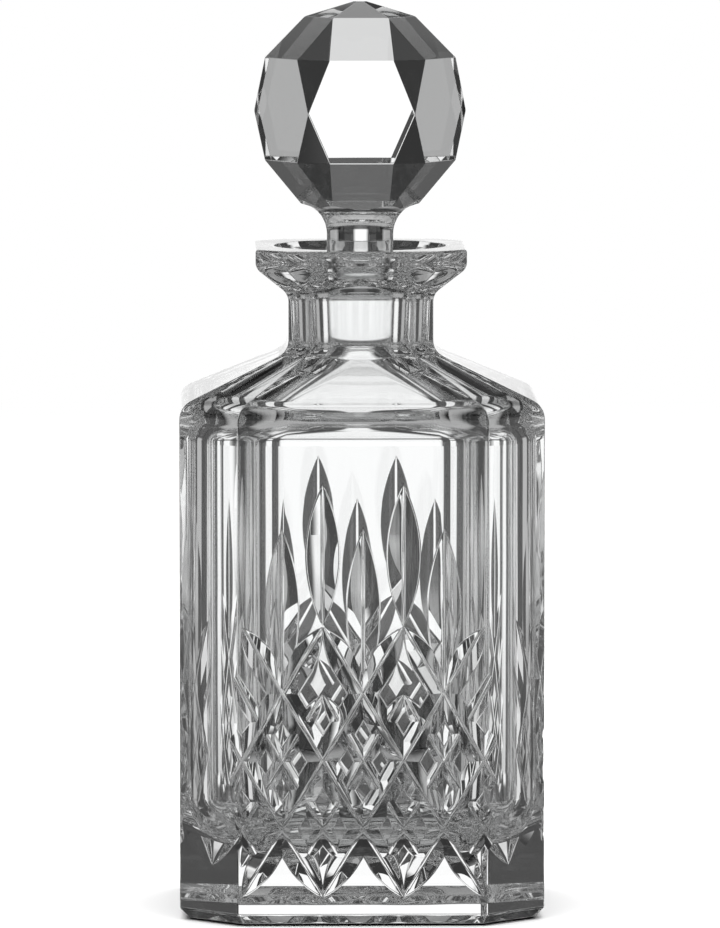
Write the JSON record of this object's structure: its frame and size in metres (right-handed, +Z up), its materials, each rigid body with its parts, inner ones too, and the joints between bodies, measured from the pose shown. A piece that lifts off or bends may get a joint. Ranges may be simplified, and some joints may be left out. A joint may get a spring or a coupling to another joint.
{
  "type": "cut glass decanter",
  "caption": "Square cut crystal decanter with cut corners, a diamond and leaf cut pattern, a flared lip and a faceted ball stopper.",
  "frame": {"origin": "centre of the underside of the foot", "axes": "+Z up along the axis of bottle and stopper, +Y to the back, +X to the right seen from the front; the four cut faces look along X and Y"},
  "size_m": [0.092, 0.092, 0.2302],
  "materials": {
    "crystal_body": "polished cut crystal, bore finely ground",
    "crystal_stopper": "polished cut crystal, plug finely ground"
  },
  "bodies": {
    "bottle": {"decanter_body": "crystal_body"},
    "stopper": {"stopper": "crystal_stopper"}
  },
  "joints": [
    {"name": "stopper_lift", "type": "slide", "parent": "bottle", "child": "stopper", "axis": [0, 0, 1], "range_m": [0, 0.05]}
  ]
}
